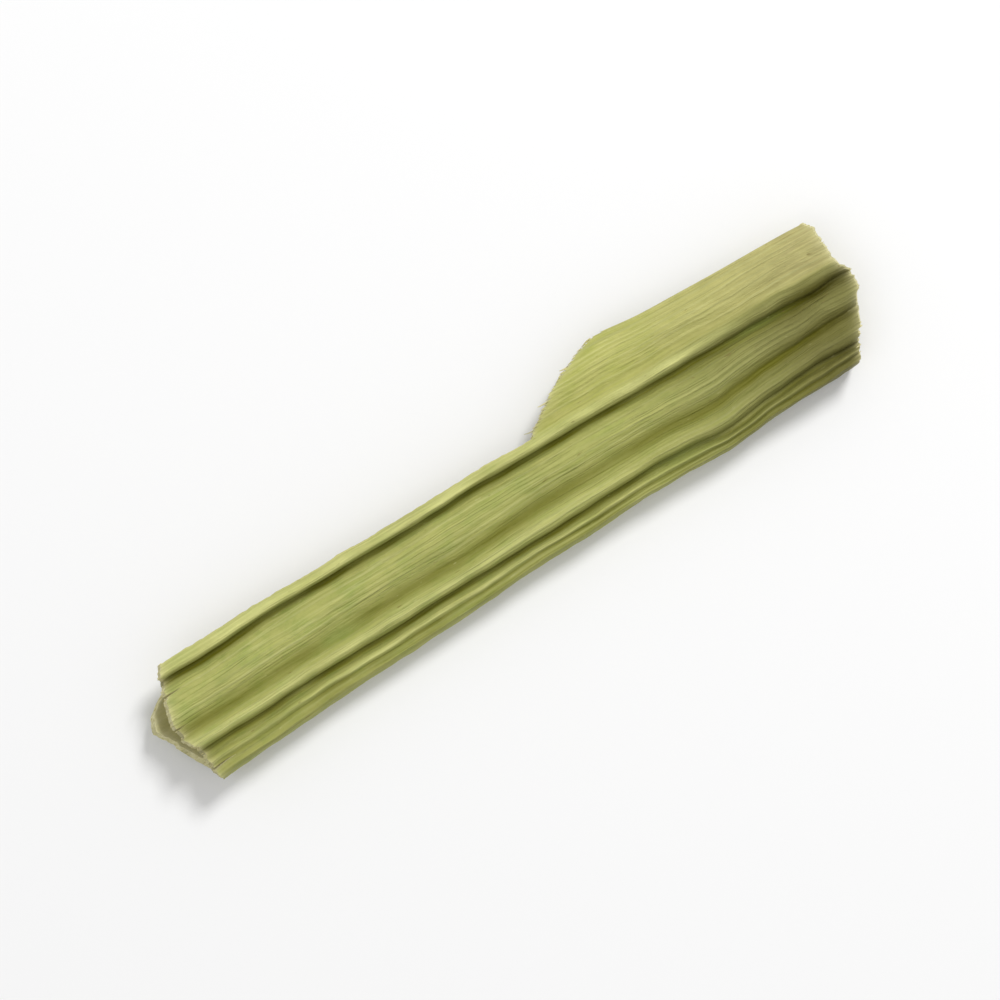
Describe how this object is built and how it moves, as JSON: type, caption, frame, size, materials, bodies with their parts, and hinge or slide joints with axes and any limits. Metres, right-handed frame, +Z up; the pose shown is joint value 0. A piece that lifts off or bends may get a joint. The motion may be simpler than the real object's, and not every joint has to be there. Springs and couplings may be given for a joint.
{
  "type": "cut dried lemongrass stalk piece",
  "caption": "Short cut and dried length of lemongrass leaf sheath, folded lengthwise, with raised ribs, a torn side flap and rough cut ends, lying flat.",
  "frame": {"origin": "bottom centre of the piece's box, on the surface it lies on", "axes": "+X along the piece towards the end that keeps the flap, +Y across it towards the flap, +Z up"},
  "size_m": [0.038, 0.0078, 0.0029],
  "materials": {
    "dried_sheath": "matte"
  },
  "bodies": {
    "root": {"leaf_sheath": "dried_sheath"}
  },
  "joints": []
}
